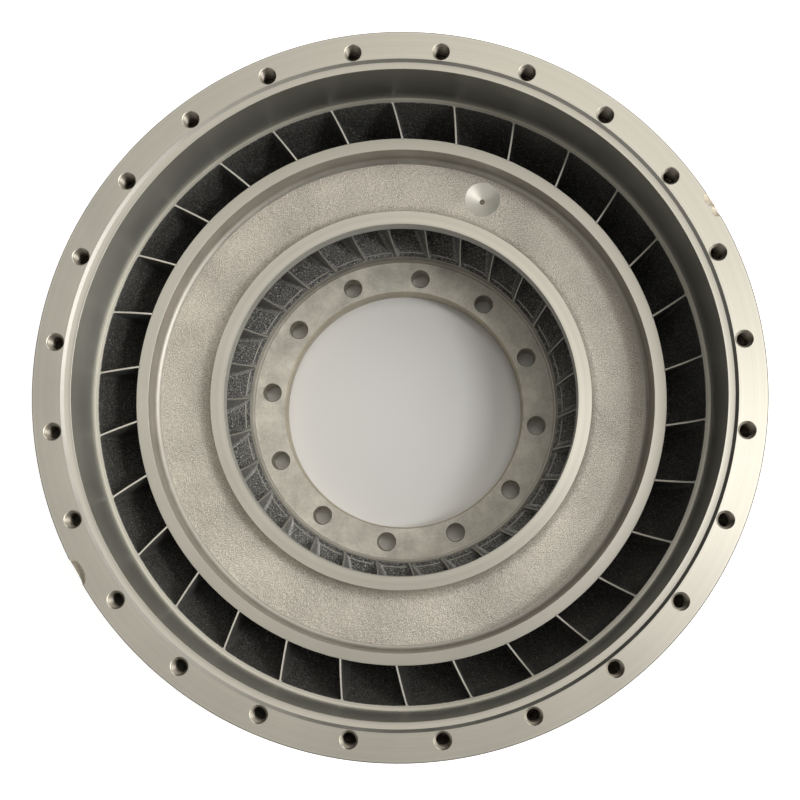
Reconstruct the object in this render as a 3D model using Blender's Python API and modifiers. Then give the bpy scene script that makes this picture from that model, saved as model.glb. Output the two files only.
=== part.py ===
"""Pump impeller of a hydraulic torque converter, a cast and machined aluminium wheel.

The wheel lies on the rear face of its hub, with the open side and the bolting flange up.
Units are metres, +Z is up along the wheel's axis, and the origin is the centre of the rear face.
"""

import math

import bmesh
import bpy
from mathutils import Matrix

# Driving dimensions

WHEEL_HEIGHT = 0.120
SEAT_GAP = 0.0003
TURNED_STEPS = 72
SHARP_ANGLE_DEG = 28.0

# Bolting flange and the machined cylinder under it
FLANGE_RADIUS = 0.180
FLANGE_THICKNESS = 0.019
FLANGE_FACE_INNER_RADIUS = 0.166
LEDGE_OUTER_RADIUS = 0.1646
LEDGE_DEPTH = 0.0016
CYLINDER_RADIUS = 0.161
WALL_OUTER_RADIUS = 0.166
EDGE_BEVEL = 0.0008
FLANGE_HOLE_COUNT = 24
FLANGE_HOLE_CIRCLE = 0.1705
FLANGE_HOLE_RADIUS = 0.0037
FLANGE_HOLE_DEPTH = 0.0145
DRILL_POINT_DEG = 118.0
FLANGE_HOLE_SIDES = 12
FLANGE_HOLE_FIRST_DEG = 7.43

# Pieces chipped off the flange's rim: angle, half length along the rim, reach inwards, depth
RIM_CHIPS = (
    (-149.7, 0.0068, 0.0038, 0.0020),
    (30.7, 0.0038, 0.0034, 0.0008),
    (28.6, 0.0032, 0.0034, 0.0016),
)
CHIP_SIDES = 12
CHIP_RINGS = 6

# Bowl, the outer wall of the blade passages
OUTLET_HEIGHT = 0.0773
BOWL_OUTLET_RADIUS = 0.1582
BOWL_INLET_RADIUS = 0.0898
BOWL_FLOOR_HEIGHT = 0.0215
BOWL_WALL = 0.008
BOWL_ARC_STEPS = 8
LIP_RADIUS = 0.087
LIP_STEP_RADIUS = 0.0863
LIP_STEP_HEIGHT = 0.0165

# Hub flange
HUB_THICKNESS = 0.014
HUB_FACE_RADIUS = 0.0852
HUB_OUTER_RADIUS = 0.088
HUB_SEAT_STEP = 0.0006
BORE_RADIUS = 0.0674
HUB_HOLE_COUNT = 12
HUB_HOLE_CIRCLE = 0.076
HUB_HOLE_RADIUS = 0.00525
HUB_HOLE_SIDES = 16
HUB_HOLE_FIRST_DEG = 22.68

# Core ring, the inner wall of the blade passages
CORE_OUTER_RADIUS = 0.1384
CORE_INNER_RADIUS = 0.0936
CORE_BOTTOM_HEIGHT = 0.053
CORE_ARC_RADIUS = 0.020
CORE_ARC_STEPS = 4
CORE_NOSE_WIDTH = 0.0064
CORE_NOSE_HEIGHT = 0.007
OUTER_LAND_INNER_RADIUS = 0.1322
INNER_LAND_OUTER_RADIUS = 0.1008
INNER_LAND_HEIGHT = 0.070
RECESS_FLOOR_HEIGHT = 0.061
RECESS_INNER_FILLET = 0.0065
RECESS_OUTER_FILLET = 0.003
FILLET_STEPS = 3

# Cone that a large drill left in the recess when the wheel was balanced
DIMPLE_CIRCLE = 0.1177
DIMPLE_ANGLE_DEG = 67.8
DIMPLE_RADIUS = 0.0094
DIMPLE_DEPTH = 0.0055
DIMPLE_SIDES = 20

# Blades
BLADE_COUNT = 30
BLADE_THICKNESS = 0.0016
BLADE_EDGE_THICKNESS = 0.001
BLADE_TIP_DEG = 7.35
BLADE_SWEEP_DEG = 11.4
BLADE_EXIT_SWEEP_DEG = 7.1
BLADE_SWEEP_POWER = 5
LEADING_EDGE_LEAN_DEG = 1.5
LEADING_EDGE_SHELL_RADIUS = 0.0874
LEADING_EDGE_CORE_RADIUS = 0.1025
CORE_FLAT_ROWS = 4

MACHINED_COLOR = (0.62, 0.58, 0.52, 1.0)
CAST_COLOR = (0.47, 0.44, 0.41, 1.0)
BLADE_COLOR = (0.40, 0.39, 0.37, 1.0)


def clear_scene():
    for obj in list(bpy.data.objects):
        bpy.data.objects.remove(obj, do_unlink=True)


def new_collection(name):
    collection = bpy.data.collections.new(name)
    bpy.context.scene.collection.children.link(collection)
    return collection


def metal(name, color, roughness):
    material = bpy.data.materials.new(name)
    material.use_nodes = True
    shader = material.node_tree.nodes["Principled BSDF"]
    shader.inputs["Base Color"].default_value = color
    shader.inputs["Roughness"].default_value = roughness
    shader.inputs["Metallic"].default_value = 1.0
    return material


def mesh_object(name, bm, collection):
    mesh = bpy.data.meshes.new(name)
    bm.to_mesh(mesh)
    bm.free()
    obj = bpy.data.objects.new(name, mesh)
    collection.objects.link(obj)
    return obj


def polar(radius, angle_deg, height):
    angle = math.radians(angle_deg)
    return (radius * math.cos(angle), radius * math.sin(angle), height)


def arc(center, radii, start_deg, end_deg, steps):
    """Points (radius, height) along an ellipse, both ends included."""
    points = []
    for index in range(steps + 1):
        angle = math.radians(start_deg + (end_deg - start_deg) * index / steps)
        points.append((center[0] + radii[0] * math.cos(angle), center[1] + radii[1] * math.sin(angle)))
    return points


def turned(name, profile, collection, material):
    """Turn a closed outline of (radius, height) points about the wheel's axis."""
    bm = bmesh.new()
    corners = [bm.verts.new((radius, 0.0, height)) for radius, height in profile]
    for index, corner in enumerate(corners):
        bm.edges.new((corner, corners[(index + 1) % len(corners)]))
    obj = mesh_object(name, bm, collection)
    screw = obj.modifiers.new("turn", "SCREW")
    screw.steps = TURNED_STEPS
    screw.render_steps = TURNED_STEPS
    screw.use_merge_vertices = True
    screw.merge_threshold = 0.00001
    obj.data.materials.append(material)
    return obj


def point_drill(bm, drill, radius):
    """Give the drill's lower end its cone."""
    bm.normal_update()
    ends = {face for vert in drill["verts"] for face in vert.link_faces if face.normal.z < -0.9}
    tip = bmesh.ops.poke(bm, faces=list(ends))["verts"]
    reach = radius / math.tan(math.radians(DRILL_POINT_DEG / 2))
    bmesh.ops.translate(bm, verts=tip, vec=(0.0, 0.0, -reach))


def cylinder_ring(name, count, circle, first_deg, radius, sides, heights, pointed, collection):
    """Cutters for a ring of like holes, as one mesh."""
    bm = bmesh.new()
    for index in range(count):
        drill = bmesh.ops.create_cone(
            bm, cap_ends=True, segments=sides, radius1=radius, radius2=radius, depth=heights[1] - heights[0]
        )
        middle = (heights[0] + heights[1]) / 2
        place = polar(circle, first_deg + 360 / count * index, middle)
        bmesh.ops.translate(bm, verts=drill["verts"], vec=place)
        if pointed:
            point_drill(bm, drill, radius)
    return hidden_cutter(mesh_object(name, bm, collection))


def cone_cutter(name, collection):
    """Cutter for the balancing dimple, a cone with its tip down."""
    bm = bmesh.new()
    bmesh.ops.create_cone(
        bm, cap_ends=True, segments=DIMPLE_SIDES, radius1=0.0, radius2=2 * DIMPLE_RADIUS, depth=2 * DIMPLE_DEPTH
    )
    place = polar(DIMPLE_CIRCLE, DIMPLE_ANGLE_DEG, RECESS_FLOOR_HEIGHT)
    bmesh.ops.translate(bm, verts=bm.verts, vec=place)
    return hidden_cutter(mesh_object(name, bm, collection))


def chip_cutter(name, collection):
    """Cutters for the chips, each a flattened ball on the rim's upper edge."""
    bm = bmesh.new()
    for angle_deg, half_length, reach, depth in RIM_CHIPS:
        ball = bmesh.ops.create_uvsphere(bm, u_segments=CHIP_SIDES, v_segments=CHIP_RINGS, radius=1.0)
        bmesh.ops.scale(bm, verts=ball["verts"], vec=(reach, half_length, depth))
        turn = Matrix.Rotation(math.radians(angle_deg), 3, "Z")
        bmesh.ops.rotate(bm, verts=ball["verts"], matrix=turn)
        bmesh.ops.translate(bm, verts=ball["verts"], vec=polar(FLANGE_RADIUS, angle_deg, WHEEL_HEIGHT))
    return hidden_cutter(mesh_object(name, bm, collection))


def hidden_cutter(cutter):
    cutter.hide_render = True
    cutter.display_type = "WIRE"
    return cutter


def cut(obj, cutter):
    boolean = obj.modifiers.new(cutter.name, "BOOLEAN")
    boolean.operation = "DIFFERENCE"
    boolean.solver = "EXACT"
    boolean.object = cutter


def shade_round(obj):
    """Fix the turned and cut shape as a mesh, smooth on its round faces and sharp at its edges."""
    evaluated = obj.evaluated_get(bpy.context.evaluated_depsgraph_get())
    mesh = bpy.data.meshes.new_from_object(evaluated)
    obj.modifiers.clear()
    obj.data = mesh
    mesh.name = obj.name
    mesh.shade_smooth()
    mesh.set_sharp_from_angle(angle=math.radians(SHARP_ANGLE_DEG))


def build_mounting_flange(parts, cutters):
    """Bolting flange with the machined cylinder that drops from it to the bowl."""
    underside = WHEEL_HEIGHT - FLANGE_THICKNESS
    ledge = WHEEL_HEIGHT - LEDGE_DEPTH
    profile = [
        (FLANGE_RADIUS - EDGE_BEVEL, WHEEL_HEIGHT),
        (FLANGE_RADIUS, WHEEL_HEIGHT - EDGE_BEVEL),
        (FLANGE_RADIUS, underside + EDGE_BEVEL),
        (FLANGE_RADIUS - EDGE_BEVEL, underside),
        (WALL_OUTER_RADIUS, underside),
        (WALL_OUTER_RADIUS, OUTLET_HEIGHT + SEAT_GAP),
        (CYLINDER_RADIUS, OUTLET_HEIGHT + SEAT_GAP),
        (CYLINDER_RADIUS, ledge),
        (LEDGE_OUTER_RADIUS, ledge),
        (FLANGE_FACE_INNER_RADIUS, WHEEL_HEIGHT),
    ]
    flange = turned("mounting_flange", profile, parts, metal("machined_flange", MACHINED_COLOR, 0.38))
    drill_heights = (WHEEL_HEIGHT - FLANGE_HOLE_DEPTH, WHEEL_HEIGHT + FLANGE_THICKNESS / 2)
    cut(flange, cylinder_ring(
        "flange_drills", FLANGE_HOLE_COUNT, FLANGE_HOLE_CIRCLE, FLANGE_HOLE_FIRST_DEG,
        FLANGE_HOLE_RADIUS, FLANGE_HOLE_SIDES, drill_heights, True, cutters,
    ))
    cut(flange, chip_cutter("rim_chips", cutters))
    shade_round(flange)


def bowl_curve(outset_radius, outset_depth, start_deg, end_deg):
    """The bowl's inner curve, flat at the hub and upright at the outlet, moved out by two distances."""
    center = (BOWL_INLET_RADIUS, OUTLET_HEIGHT)
    radii = (
        BOWL_OUTLET_RADIUS - BOWL_INLET_RADIUS + outset_radius,
        OUTLET_HEIGHT - BOWL_FLOOR_HEIGHT + outset_depth,
    )
    return arc(center, radii, start_deg, end_deg, BOWL_ARC_STEPS)


def build_bowl(parts):
    """Bowl whose inner side guides the oil from the hub outwards and up."""
    outer = bowl_curve(WALL_OUTER_RADIUS - BOWL_OUTLET_RADIUS, BOWL_WALL, 0, -90)
    seat = HUB_THICKNESS - HUB_SEAT_STEP + SEAT_GAP
    hub_side = [
        (HUB_OUTER_RADIUS + SEAT_GAP, outer[-1][1]),
        (HUB_OUTER_RADIUS + SEAT_GAP, seat),
        (HUB_FACE_RADIUS, seat),
        (HUB_FACE_RADIUS, LIP_STEP_HEIGHT),
        (LIP_STEP_RADIUS, LIP_STEP_HEIGHT),
        (LIP_RADIUS, BOWL_FLOOR_HEIGHT),
    ]
    inner = bowl_curve(0.0, 0.0, -90, 0)
    bowl = turned("bowl", outer + hub_side + inner, parts, metal("cast_bowl", CAST_COLOR, 0.62))
    shade_round(bowl)


def build_hub_flange(parts, cutters):
    """Flat hub ring with a central bore, its ring of bolt holes and a low seat for the bowl round its face."""
    face_edge = HUB_FACE_RADIUS - SEAT_GAP
    profile = [
        (face_edge, HUB_THICKNESS),
        (face_edge, HUB_THICKNESS - HUB_SEAT_STEP),
        (HUB_OUTER_RADIUS, HUB_THICKNESS - HUB_SEAT_STEP),
        (HUB_OUTER_RADIUS, EDGE_BEVEL),
        (HUB_OUTER_RADIUS - EDGE_BEVEL, 0.0),
        (BORE_RADIUS + EDGE_BEVEL, 0.0),
        (BORE_RADIUS, EDGE_BEVEL),
        (BORE_RADIUS, HUB_THICKNESS - EDGE_BEVEL),
        (BORE_RADIUS + EDGE_BEVEL, HUB_THICKNESS),
    ]
    hub = turned("hub_flange", profile, parts, metal("machined_hub", MACHINED_COLOR, 0.45))
    drill_heights = (-HUB_THICKNESS / 2, HUB_THICKNESS * 1.5)
    cut(hub, cylinder_ring(
        "hub_drills", HUB_HOLE_COUNT, HUB_HOLE_CIRCLE, HUB_HOLE_FIRST_DEG,
        HUB_HOLE_RADIUS, HUB_HOLE_SIDES, drill_heights, False, cutters,
    ))
    shade_round(hub)


def core_arc():
    """Rounded outer shoulder of the core ring, from its upright side to its flat underside."""
    center = (CORE_OUTER_RADIUS - CORE_ARC_RADIUS, CORE_BOTTOM_HEIGHT + CORE_ARC_RADIUS)
    return arc(center, (CORE_ARC_RADIUS, CORE_ARC_RADIUS), 0, -90, CORE_ARC_STEPS)


def build_core_ring(parts, cutters):
    """Core ring: two machined lands with a cast recess between them."""
    nose_center = (CORE_INNER_RADIUS + CORE_NOSE_WIDTH, CORE_BOTTOM_HEIGHT + CORE_NOSE_HEIGHT)
    nose = arc(nose_center, (CORE_NOSE_WIDTH, CORE_NOSE_HEIGHT), -90, -180, FILLET_STEPS)
    inner = RECESS_INNER_FILLET
    outer = RECESS_OUTER_FILLET
    inner_center = (INNER_LAND_OUTER_RADIUS + inner, RECESS_FLOOR_HEIGHT + inner)
    outer_center = (OUTER_LAND_INNER_RADIUS - outer, RECESS_FLOOR_HEIGHT + outer)
    profile = [(CORE_OUTER_RADIUS, OUTLET_HEIGHT)]
    profile += core_arc()
    profile += nose
    profile += [(CORE_INNER_RADIUS, INNER_LAND_HEIGHT), (INNER_LAND_OUTER_RADIUS, INNER_LAND_HEIGHT)]
    profile += arc(inner_center, (inner, inner), 180, 270, FILLET_STEPS)
    profile += arc(outer_center, (outer, outer), 270, 360, FILLET_STEPS)
    profile += [(OUTER_LAND_INNER_RADIUS, OUTLET_HEIGHT)]
    ring = turned("core_ring", profile, parts, metal("cast_core_ring", CAST_COLOR, 0.6))
    cut(ring, cone_cutter("balance_drill", cutters))
    shade_round(ring)


def shell_line():
    """Where the blade meets the bowl, one point (radius, height) a row, a seat gap inside it."""
    rows = [(LEADING_EDGE_SHELL_RADIUS, BOWL_FLOOR_HEIGHT + SEAT_GAP)]
    rows += bowl_curve(-SEAT_GAP, -SEAT_GAP, -90, 0)
    return rows


def core_line():
    """Where the blade meets the core ring, one point (radius, height) a row, a seat gap outside it."""
    flat_end = CORE_OUTER_RADIUS - CORE_ARC_RADIUS
    rows = []
    for index in range(CORE_FLAT_ROWS):
        radius = LEADING_EDGE_CORE_RADIUS + (flat_end - LEADING_EDGE_CORE_RADIUS) * index / CORE_FLAT_ROWS
        rows.append((radius, CORE_BOTTOM_HEIGHT - SEAT_GAP))
    center = (flat_end, CORE_BOTTOM_HEIGHT + CORE_ARC_RADIUS)
    radii = (CORE_ARC_RADIUS + SEAT_GAP, CORE_ARC_RADIUS + SEAT_GAP)
    rows += arc(center, radii, -90, 0, CORE_ARC_STEPS)
    rows.append((CORE_OUTER_RADIUS + SEAT_GAP, OUTLET_HEIGHT))
    return rows


def sweep_deg(radius):
    """Angle by which the blade lags its tip at this radius, and its slope in degrees a metre."""
    span = BOWL_OUTLET_RADIUS - LIP_RADIUS
    inward = (BOWL_OUTLET_RADIUS - radius) / span
    entry_part = BLADE_SWEEP_DEG - BLADE_EXIT_SWEEP_DEG
    lag = BLADE_EXIT_SWEEP_DEG * inward + entry_part * inward ** BLADE_SWEEP_POWER
    slope = BLADE_EXIT_SWEEP_DEG + entry_part * BLADE_SWEEP_POWER * inward ** (BLADE_SWEEP_POWER - 1)
    return lag, slope / span


def blade_rows():
    """Rows of the blade: (radius, height, centre angle, half its width as an angle) at bowl and core."""
    shell = shell_line()
    core = core_line()
    last = len(shell) - 1
    rows = []
    for index in range(last + 1):
        swell = math.sin(math.pi * index / last)
        thickness = BLADE_EDGE_THICKNESS + (BLADE_THICKNESS - BLADE_EDGE_THICKNESS) * swell
        ends = []
        for point, at_core in ((shell[index], 0), (core[index], 1)):
            radius, height = point
            lag, slope = sweep_deg(radius)
            lean = LEADING_EDGE_LEAN_DEG * at_core * (1 - index / last) ** 2
            stretch = math.hypot(1.0, radius * math.radians(slope))
            half_width = math.degrees(thickness / 2 * stretch / radius)
            ends.append((radius, height, BLADE_TIP_DEG - lag - lean, half_width))
        rows.append(ends)
    return rows


def blade_mesh():
    """One blade as a loft of four-cornered sections, from its leading edge to its trailing edge."""
    bm = bmesh.new()
    sections = []
    for shell_end, core_end in blade_rows():
        corners = []
        for end, side in ((shell_end, -1), (shell_end, 1), (core_end, 1), (core_end, -1)):
            radius, height, angle, half_width = end
            corners.append(bm.verts.new(polar(radius, angle + side * half_width, height)))
        sections.append(corners)
    for near, far in zip(sections, sections[1:]):
        for index in range(4):
            following = (index + 1) % 4
            bm.faces.new((near[index], near[following], far[following], far[index]))
    bm.faces.new(reversed(sections[0]))
    bm.faces.new(sections[-1])
    bmesh.ops.recalc_face_normals(bm, faces=bm.faces)
    mesh = bpy.data.meshes.new("blade")
    bm.to_mesh(mesh)
    bm.free()
    return mesh


def build_blades(parts):
    """Thirty like blades, evenly spaced."""
    mesh = blade_mesh()
    mesh.materials.append(metal("cast_blade", BLADE_COLOR, 0.6))
    for index in range(BLADE_COUNT):
        blade = bpy.data.objects.new(f"blade_{index + 1:02d}", mesh)
        blade.rotation_euler.z = math.radians(360 / BLADE_COUNT * index)
        parts.objects.link(blade)


def main():
    clear_scene()
    parts = new_collection("pump_impeller")
    cutters = new_collection("cutters")
    build_mounting_flange(parts, cutters)
    build_bowl(parts)
    build_hub_flange(parts, cutters)
    build_core_ring(parts, cutters)
    build_blades(parts)


main()
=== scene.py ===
import math

import bmesh
import bpy
from mathutils import Matrix, Vector


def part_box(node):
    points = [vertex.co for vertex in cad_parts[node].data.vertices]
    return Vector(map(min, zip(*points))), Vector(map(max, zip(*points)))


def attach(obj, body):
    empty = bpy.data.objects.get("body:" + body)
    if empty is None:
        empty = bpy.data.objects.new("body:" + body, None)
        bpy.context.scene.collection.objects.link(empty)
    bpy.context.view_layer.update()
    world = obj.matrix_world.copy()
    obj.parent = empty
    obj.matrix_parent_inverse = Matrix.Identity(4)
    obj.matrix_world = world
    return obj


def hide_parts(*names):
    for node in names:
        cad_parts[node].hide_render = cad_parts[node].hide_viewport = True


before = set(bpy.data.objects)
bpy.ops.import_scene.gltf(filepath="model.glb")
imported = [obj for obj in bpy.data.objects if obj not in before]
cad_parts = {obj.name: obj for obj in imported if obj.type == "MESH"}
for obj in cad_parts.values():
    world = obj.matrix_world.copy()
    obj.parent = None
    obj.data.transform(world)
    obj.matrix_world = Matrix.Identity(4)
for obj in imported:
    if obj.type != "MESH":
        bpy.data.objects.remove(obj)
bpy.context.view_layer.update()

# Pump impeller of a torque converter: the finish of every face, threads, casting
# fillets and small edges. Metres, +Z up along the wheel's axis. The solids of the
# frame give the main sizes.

# Sizes read from the frame
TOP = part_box("mounting_flange")[1].z
RIM_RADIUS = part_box("mounting_flange")[1].x
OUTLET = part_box("bowl")[1].z
WALL_OUTER_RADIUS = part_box("bowl")[1].x
CORE_OUTER_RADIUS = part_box("core_ring")[1].x
CORE_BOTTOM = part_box("core_ring")[0].z
HUB_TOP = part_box("hub_flange")[1].z
HUB_OUTER_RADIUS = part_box("hub_flange")[1].x

# Flange and machined cylinder
RING_STEPS = 240
FLANGE_THICKNESS = 0.019
RIM_BEVEL = 0.0008
RIM_START_DEG = -60
RIM_ARC_STEPS = 3
RIM_CHAMFER = 0.0005
FACE_INNER_RADIUS = 0.1658
LEDGE_OUTER_RADIUS = 0.1643
LEDGE_FLAT_RADIUS = 0.1625
LEDGE_RISE = 0.0003
LEDGE_DEPTH = 0.0016
CYLINDER_RADIUS = 0.161
EDGE = 0.00015
FLANGE_ROOT_FILLET = 0.004
FILLET_STEPS = 6
SHARP_DEG = 28

# Threaded holes in the flange, M8
HOLE_COUNT = 24
HOLE_CIRCLE = 0.1705
HOLE_FIRST_DEG = 7.43
THREAD_MAJOR_RADIUS = 0.0041
THREAD_MINOR_RADIUS = 0.0034
THREAD_PITCH = 0.00125
THREAD_STEPS = 24
THREAD_BASE_SHARE = 0.46
THREAD_CREST_SHARE = 0.09
THREAD_SINK = 0.00003
THREAD_SHARP_DEG = 30
HOLE_MOUTH_RADIUS = 0.0045
HOLE_DEPTH = 0.0145
THREAD_DEPTH = 0.0125
DRILL_POINT_DEG = 118.0
DRILL_TIP_RADIUS = 0.0001
HOLE_SIDES = 48

# Chips broken off the rim: angle, half length along the rim, reach inwards, depth
RIM_CHIPS = (
    (-149.7, 0.0070, 0.0042, 0.0030),
    (30.7, 0.0038, 0.0034, 0.0008),
    (28.6, 0.0032, 0.0034, 0.0016),
)
CHIP_ROUGHNESS = 0.06

# Bowl
OUTLET_RADIUS = 0.1582
OUTLET_BEVEL = 0.0003
# Painted highlight: a thin lighter ring on the bowl's rim
RIM_HIGHLIGHT_RADIUS = 0.1601
RIM_HIGHLIGHT_WIDTH = 0.0005
INLET_RADIUS = 0.0898
BOWL_FLOOR = 0.0215
BOWL_WALL = 0.008
BOWL_STEPS = 40
BOWL_TOP_DEG = -0.3
BOWL_INSIDE_END_DEG = -89
BOWL_OUTSIDE_START_DEG = -87
LIP_RADIUS = 0.087
LIP_STEP_RADIUS = 0.0863
LIP_STEP_HEIGHT = 0.0165
LIP_CUT = 0.0003

# Hub
HUB_FACE_RADIUS = 0.0852
HUB_SEAT_STEP = 0.0006
HUB_STEPS = 192
BORE_RADIUS = 0.0674
BORE_BEVEL = 0.0008
HUB_FILLET = 0.003
HUB_HOLE_COUNT = 12
HUB_HOLE_CIRCLE = 0.076
HUB_HOLE_RADIUS = 0.0050
HUB_HOLE_FIRST_DEG = 22.68
HUB_HOLE_BEVEL = 0.0004

# Core ring
CORE_INNER_RADIUS = 0.0936
CORE_ARC = 0.020
CORE_ARC_STEPS = 16
RECESS_STEPS = 8
CORE_NOSE = (0.0064, 0.007)
CORE_NOSE_END_DEG = -170
OUTER_LAND_INNER_RADIUS = 0.1322
INNER_LAND_OUTER_RADIUS = 0.1008
INNER_LAND_HEIGHT = 0.070
RECESS_FLOOR = 0.061
OUTER_FILLET = 0.003
INNER_FILLET = 0.0065
DIMPLE_CIRCLE = 0.1177
DIMPLE_DEG = 67.8
DIMPLE_RADIUS = 0.0094
DIMPLE_DEPTH = 0.0055
DIMPLE_SIDES = 96
DIMPLE_OVERCUT = 0.1
PIP_RADIUS = 0.0015
PIP_DEPTH = 0.0002
PIP_FOOT = 0.25
PIP_SHOULDER = 0.8
PIP_GROOVE = 0.7

# Blades
BLADE_COUNT = 30
BLADE_THICKNESS = 0.0016
BLADE_EDGE_THICKNESS = 0.00085
BLADE_TIP_DEG = 7.35
BLADE_SWEEP_DEG = 11.4
BLADE_EXIT_SWEEP_DEG = 7.1
BLADE_SWEEP_POWER = 5
LEADING_LEAN_DEG = 1.5
LEADING_SHELL_RADIUS = 0.0874
LEADING_CORE_RADIUS = 0.1025
BLADE_ROWS = 34
BLADE_LEAD_ROW = 0.1
BLADE_NOSE_ROW = 0.02
BLADE_NOSE_LEAST = 0.6
NOSE_SHARES = (0.0, 0.1, 0.3, 0.6)
NOSE_BANDS = 3
BLADE_ROOT_SINK = 0.0004
BLADE_SHARP_DEG = 40
TURNED_FOOT = 0.006
FOOT_EDGE = 0.0001
CORE_FLAT_SHARE = 0.45
CORE_ARC_SHARE = 0.45

# Blade fillets: full size, row where they are full, start share, share lost at the exit
BLADE_FILLET = 0.0022
BLADE_FILLET_ENTRY = (0.12, 0.05)
BLADE_FILLET_EXIT_LOSS = 0.75
CORE_FILLET = 0.0035
CORE_FILLET_ENTRY = (0.08, 0.5)
CORE_FILLET_EXIT_LOSS = 0.94
FILLET_EXIT_ROW = 0.8
FILLET_STATIONS = (0.0, 0.1, 0.3, 0.6, 1.0, 1.6)
MIDDLE_STATIONS = (0.4, 0.8)

# Camera fitted to the photograph, whose frame is 800 pixels wide
CAMERA_FOCAL_PIXELS = 1265.1
PHOTO_PIXELS = 800
SENSOR_MM = 36.0
CAMERA_CLIP = 0.01
CAMERA_TURN_DEG = (6.637, 2.143)
CAMERA_OFFSET = (0.001836, -0.007146, 0.61738)

# Window: a soft square light aimed at the wheel
WINDOW_AZIMUTH_DEG = -5
WINDOW_ELEVATION_DEG = 51
WINDOW_DISTANCE = 1.6
WINDOW_SIZE = 0.30
WINDOW_POWER = 8.0
WINDOW_COLOR = (1.0, 0.99, 0.975)

# Soft glows of the room: azimuth, elevation, reach in degrees, strength
ROOM_COLOR = (1.0, 0.96, 0.885)
ROOM_DIM = 0.02
ROOM_GLOWS = (
    (-8, 20, 44, 2.6),
    (62, 58, 42, 1.95),
    (225, 38, 45, 0.6),
    (52, 2, 28, 2.0),
    (-60, 20, 32, 1.0),
)

# Floor: pale cloth that glows beyond the wheel
FLOOR_SIZE = 40.0
FLOOR_SHADES = ((0.70, 0.70, 0.70, 1), (0.74, 0.74, 0.74, 1))
FLOOR_ROUGHNESS = 0.9
FLOOR_GLOW = 0.7
FLOOR_GLOW_SPAN = (0.165, 0.195)

# Surface patterns, in features a metre
FINE_MARKS = 2600.0
BROAD_MARKS = 420.0
TURNED_STAINS = 28.0
CAST_PATCHES = 22.0
WORN_STAINS = 70.0
WORN_BLOTCHES = 700.0
CLOTH_WEAVE = 6.0

# Depths of the tool marks on faces, on the cylinder and in holes, and of worn blotches
FACE_MARKS = 0.000004
CYLINDER_MARKS = 0.000005
HOLE_MARKS = 0.000002
BLOTCH_DEPTH = 0.00003

# Turned surfaces: rise of the marks, share of marks to stains, shades, change of roughness
MARK_RISE = 1.37
MARK_SHARE = 0.6
TURNED_SHADES = (0.91, 1.06)
TURNED_GLOSS = (-0.05, 0.07)
BROAD_MARK_GAIN = 3
QUARTER_TURN = 0.25

# Worn surfaces: share of stains to blotches, change of roughness
STAIN_SHARE = 0.75
WORN_GLOSS = (-0.08, 0.10)

# Cast surfaces: share of sand to patches, lumps to sand in size and in depth
SAND_SHARE = 0.75
LUMP_SIZE = 5
LUMP_GAIN = 1.5

# Cast surfaces: where painted light makes them lighter near the hub, and their painted glints, bright
# specks in the colour
PAINTED_LIGHT_SPAN = (0.100, 0.125)
GLINT_SPAN = (0.60, 0.70)
GLINT_COLOR = (0.70, 0.70, 0.68, 1)
TONE_SPAN = (0.36, 0.64)


def polar(radius, angle_deg, height):
    angle = math.radians(angle_deg)
    return Vector((radius * math.cos(angle), radius * math.sin(angle), height))


def arc(center, radii, start_deg, end_deg, steps):
    """Points (radius, height) along an ellipse, both ends included."""
    points = []
    for index in range(steps + 1):
        angle = math.radians(start_deg + (end_deg - start_deg) * index / steps)
        points.append((center[0] + radii[0] * math.cos(angle), center[1] + radii[1] * math.sin(angle)))
    return points


def mesh_piece(name, bm, materials, sharp_deg=None):
    """A mesh object of the bmesh, smooth with sharp edges past the angle."""
    mesh = bpy.data.meshes.new(name)
    bm.to_mesh(mesh)
    bm.free()
    for material in materials:
        mesh.materials.append(material)
    if sharp_deg is not None:
        mesh.shade_smooth()
        mesh.set_sharp_from_angle(angle=math.radians(sharp_deg))
    piece = bpy.data.objects.new(name, mesh)
    bpy.context.scene.collection.objects.link(piece)
    return piece


def turned(stretches, finishes, steps):
    """Closed ring turned from stretches of outline: a material and (radius, height) points."""
    outline = []
    finish = []
    for material, points in stretches:
        outline += points
        finish += [finishes.index(material)] * len(points)
    bm = bmesh.new()
    rings = []
    for step in range(steps):
        angle_deg = 360 * step / steps
        rings.append([bm.verts.new(polar(radius, angle_deg, height)) for radius, height in outline])
    for step in range(steps):
        near = rings[step]
        far = rings[(step + 1) % steps]
        for index, finish_index in enumerate(finish):
            after = (index + 1) % len(outline)
            face = bm.faces.new((near[index], near[after], far[after], far[index]))
            face.material_index = finish_index
    bmesh.ops.recalc_face_normals(bm, faces=bm.faces)
    return bm


def spindle(bm, profile, sides, place, mouth_index=0):
    """Closed body turned about a vertical line through place, from its lower end to its mouth."""
    levels = []
    for radius, height in profile:
        points = [place + polar(radius, 360 * side / sides, height) for side in range(sides)]
        levels.append([bm.verts.new(point) for point in points])
    bm.faces.new(list(reversed(levels[0])))
    bm.faces.new(levels[-1])
    for low, high in zip(levels, levels[1:]):
        for side in range(sides):
            after = (side + 1) % sides
            face = bm.faces.new((low[side], low[after], high[after], high[side]))
            face.material_index = mouth_index if high is levels[-1] else 0


def cut(piece, cutter_bm, materials, sharp_deg):
    """Cut the piece with the bmesh, whose faces bring their own material."""
    cutter = mesh_piece(piece.name + "_cutter", cutter_bm, materials)
    boolean = piece.modifiers.new("cut", "BOOLEAN")
    boolean.operation = "DIFFERENCE"
    boolean.solver = "EXACT"
    boolean.material_mode = "TRANSFER"
    boolean.use_self = True
    boolean.object = cutter
    evaluated = piece.evaluated_get(bpy.context.evaluated_depsgraph_get())
    mesh = bpy.data.meshes.new_from_object(evaluated)
    piece.modifiers.clear()
    piece.data = mesh
    mesh.name = piece.name
    bpy.data.objects.remove(cutter, do_unlink=True)
    mesh.shade_smooth()
    mesh.set_sharp_from_angle(angle=math.radians(sharp_deg))


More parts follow.
